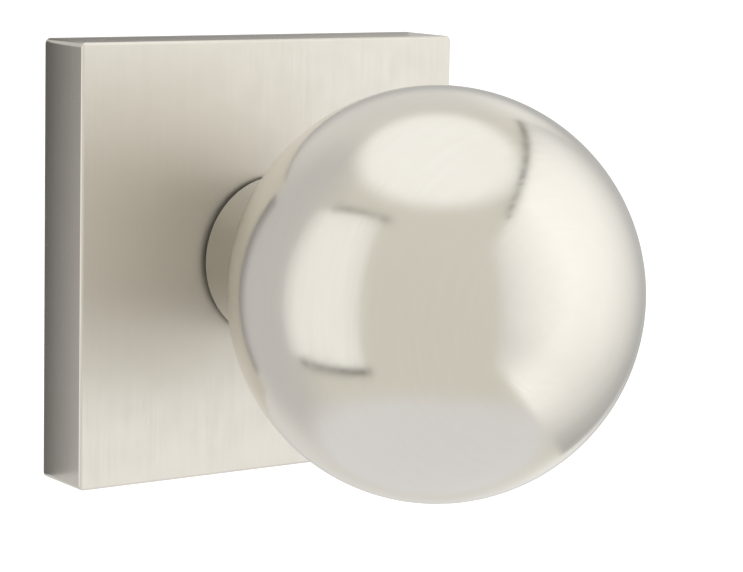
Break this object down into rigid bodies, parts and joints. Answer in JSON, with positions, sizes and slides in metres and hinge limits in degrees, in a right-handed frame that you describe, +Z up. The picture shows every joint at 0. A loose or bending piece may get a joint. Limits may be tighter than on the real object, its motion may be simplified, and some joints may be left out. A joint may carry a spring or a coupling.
{
  "type": "door knob",
  "caption": "Passage door knob: a hollow ball on a short round neck turns in a square rosette, with a square spindle, tapped posts and a hidden return spring.",
  "frame": {"origin": "centre of the rosette's back, on the door's face and on the knob's turning axis", "axes": "+Y runs along the knob's axis into the door, so the ball projects towards -Y; +Z is up and +X runs across the door"},
  "size_m": [0.066, 0.1327, 0.066],
  "materials": {
    "satin_nickel": "brushed satin nickel plate, warm grey",
    "zinc_plated_steel": "bright zinc plate",
    "dark_screw_steel": "black oxide",
    "spring_steel": "oiled spring temper",
    "plain_steel": "machined, lightly oiled",
    "sintered_steel": "matt pressed powder metal",
    "bronze": "oil-filled bearing bronze",
    "raw_brass": "raw, unplated",
    "nylon": "black nylon",
    "foam_rubber": "closed-cell foam"
  },
  "bodies": {
    "rosette": {"rosette_cover": "satin_nickel", "rosette_grub_screw": "dark_screw_steel", "mounting_plate": "zinc_plated_steel", "backing_pad": "foam_rubber", "mounting_post_upper": "zinc_plated_steel", "mounting_post_lower": "zinc_plated_steel", "cover_clips": "spring_steel", "clip_rivets": "zinc_plated_steel", "spring_cage": "zinc_plated_steel", "cage_rivets": "zinc_plated_steel", "collar_bushing": "bronze", "stop_pins": "dark_screw_steel", "return_spring": "spring_steel"},
    "knob": {"ball_front_shell": "satin_nickel", "ball_rear_shell": "satin_nickel", "joining_ring": "raw_brass", "neck_sleeve": "satin_nickel", "dished_washer": "plain_steel", "core_nut": "zinc_plated_steel", "shank": "plain_steel", "thrust_washer": "nylon", "knob_grub_screw": "dark_screw_steel", "rotor": "sintered_steel", "disc_spring": "spring_steel", "snap_ring": "spring_steel", "spindle": "plain_steel"}
  },
  "joints": [
    {"name": "knob_turn", "type": "hinge", "parent": "rosette", "child": "knob", "pos_m": [0, 0, 0], "axis": [0, -1, 0], "range_deg": [-60, 60], "stiffness_Nm_per_rad": 0.25, "deforming": ["return_spring"]}
  ]
}
